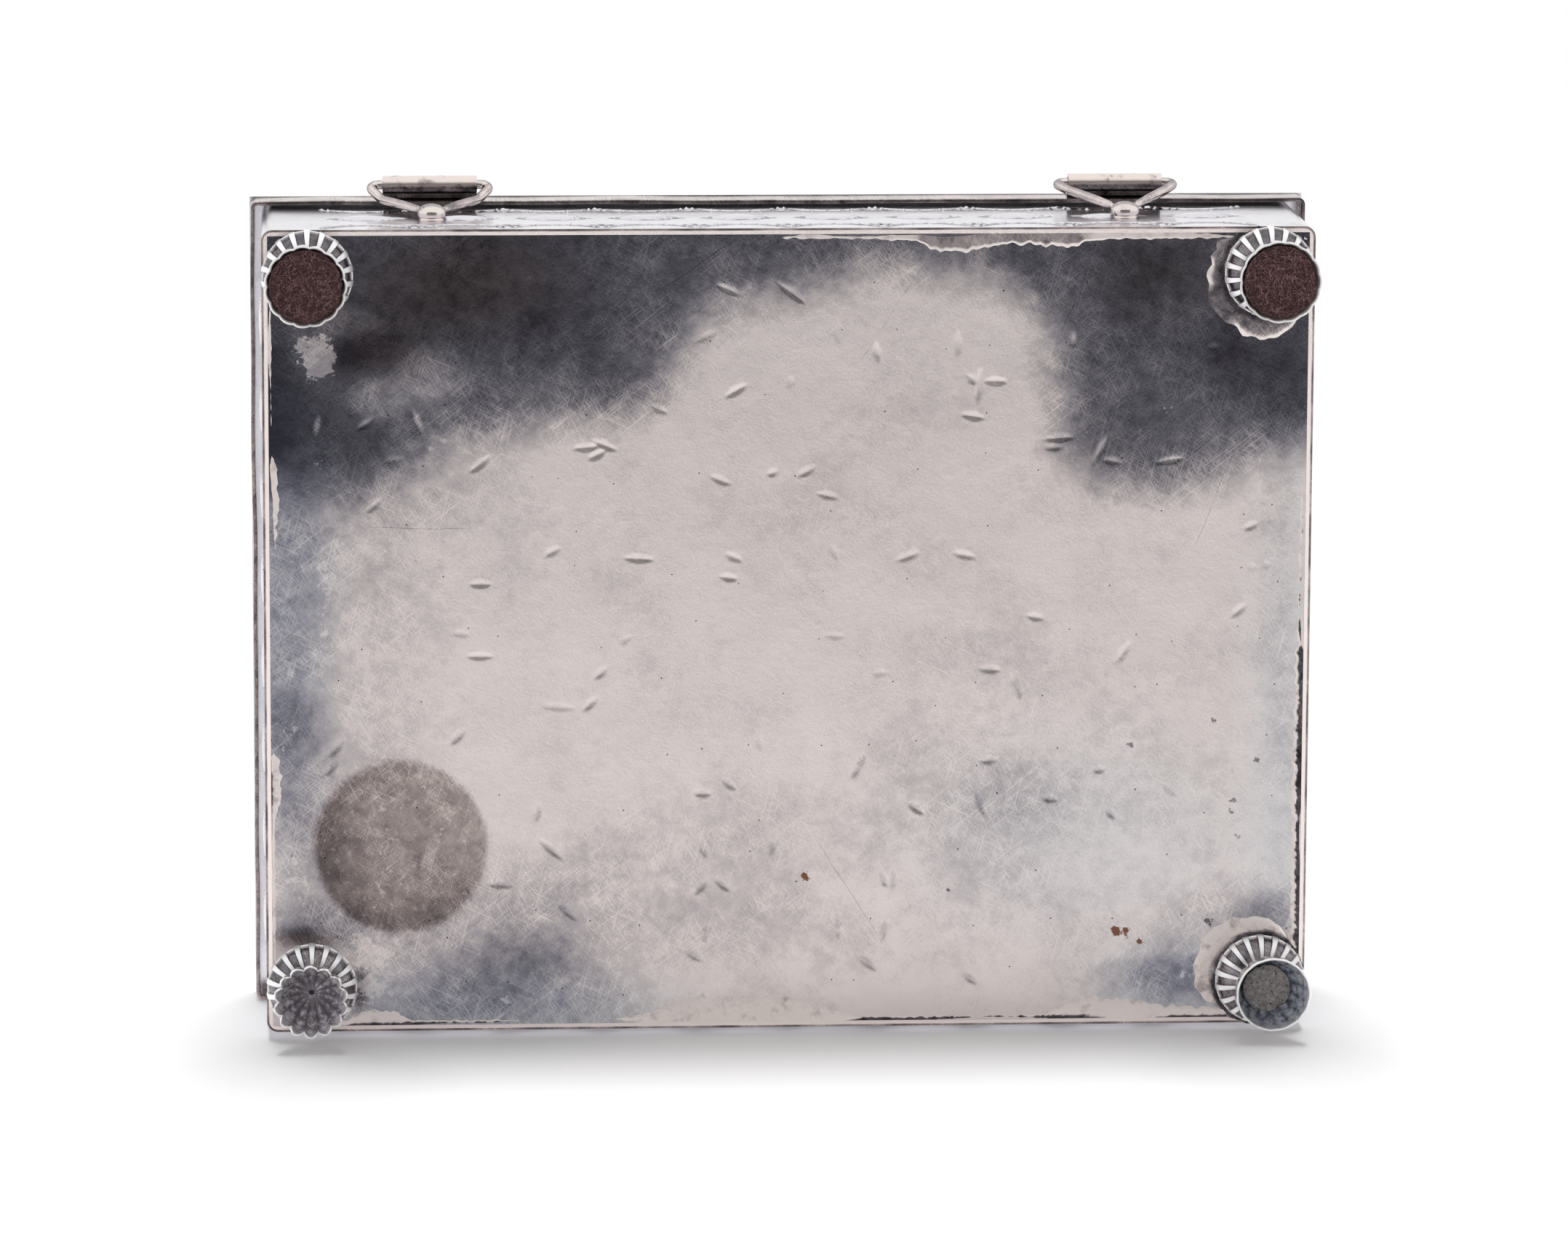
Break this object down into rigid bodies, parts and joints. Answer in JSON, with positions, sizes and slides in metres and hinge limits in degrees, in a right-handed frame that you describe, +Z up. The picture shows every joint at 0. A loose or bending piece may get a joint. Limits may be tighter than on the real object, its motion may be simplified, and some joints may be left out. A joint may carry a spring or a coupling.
{
  "type": "hinged trinket box",
  "caption": "Rectangular stamped silver box with a lid hinged on wire links at the back, standing on fluted spool feet.",
  "frame": {"origin": "on the surface the box stands on, under the middle of its outline with the hinges", "axes": "+Z up from the feet to the lid, +Y towards the hinges at the back, X along the hinge axis"},
  "size_m": [0.1464, 0.116, 0.0393],
  "materials": {
    "silver_sheet": "hand-hammered sterling silver sheet, polished, lightly tarnished",
    "silver_feet": "fluted cast and filed silver, dark in the flutes",
    "silver_wire": "drawn silver wire and a half ball, polished by wear",
    "felt": "dark maroon felt",
    "dried_glue": "grey matt dried glue"
  },
  "bodies": {
    "box": {"body_wall": "silver_sheet", "base_plate": "silver_sheet", "foot_base_back_left": "silver_feet", "foot_cup_back_left": "silver_feet", "foot_base_back_right": "silver_feet", "foot_cup_back_right": "silver_feet", "foot_base_front_left": "silver_feet", "foot_cup_front_left": "silver_feet", "foot_base_front_right": "silver_feet", "foot_cup_front_right": "silver_feet", "felt_pad_back_left": "felt", "felt_pad_back_right": "felt", "glue_disc_front_left": "dried_glue", "hinge_link_left": "silver_wire", "hinge_link_right": "silver_wire", "hinge_stud_left": "silver_wire", "hinge_stud_right": "silver_wire"},
    "lid": {"lid_rim": "silver_sheet", "lid_sheet": "silver_sheet", "hinge_knuckle_left": "silver_sheet", "hinge_knuckle_right": "silver_sheet"}
  },
  "joints": [
    {"name": "lid_hinge", "type": "hinge", "parent": "box", "child": "lid", "pos_m": [0, 0.05677, 0.0344], "axis": [-1, 0, 0], "range_deg": [0, 105]}
  ]
}
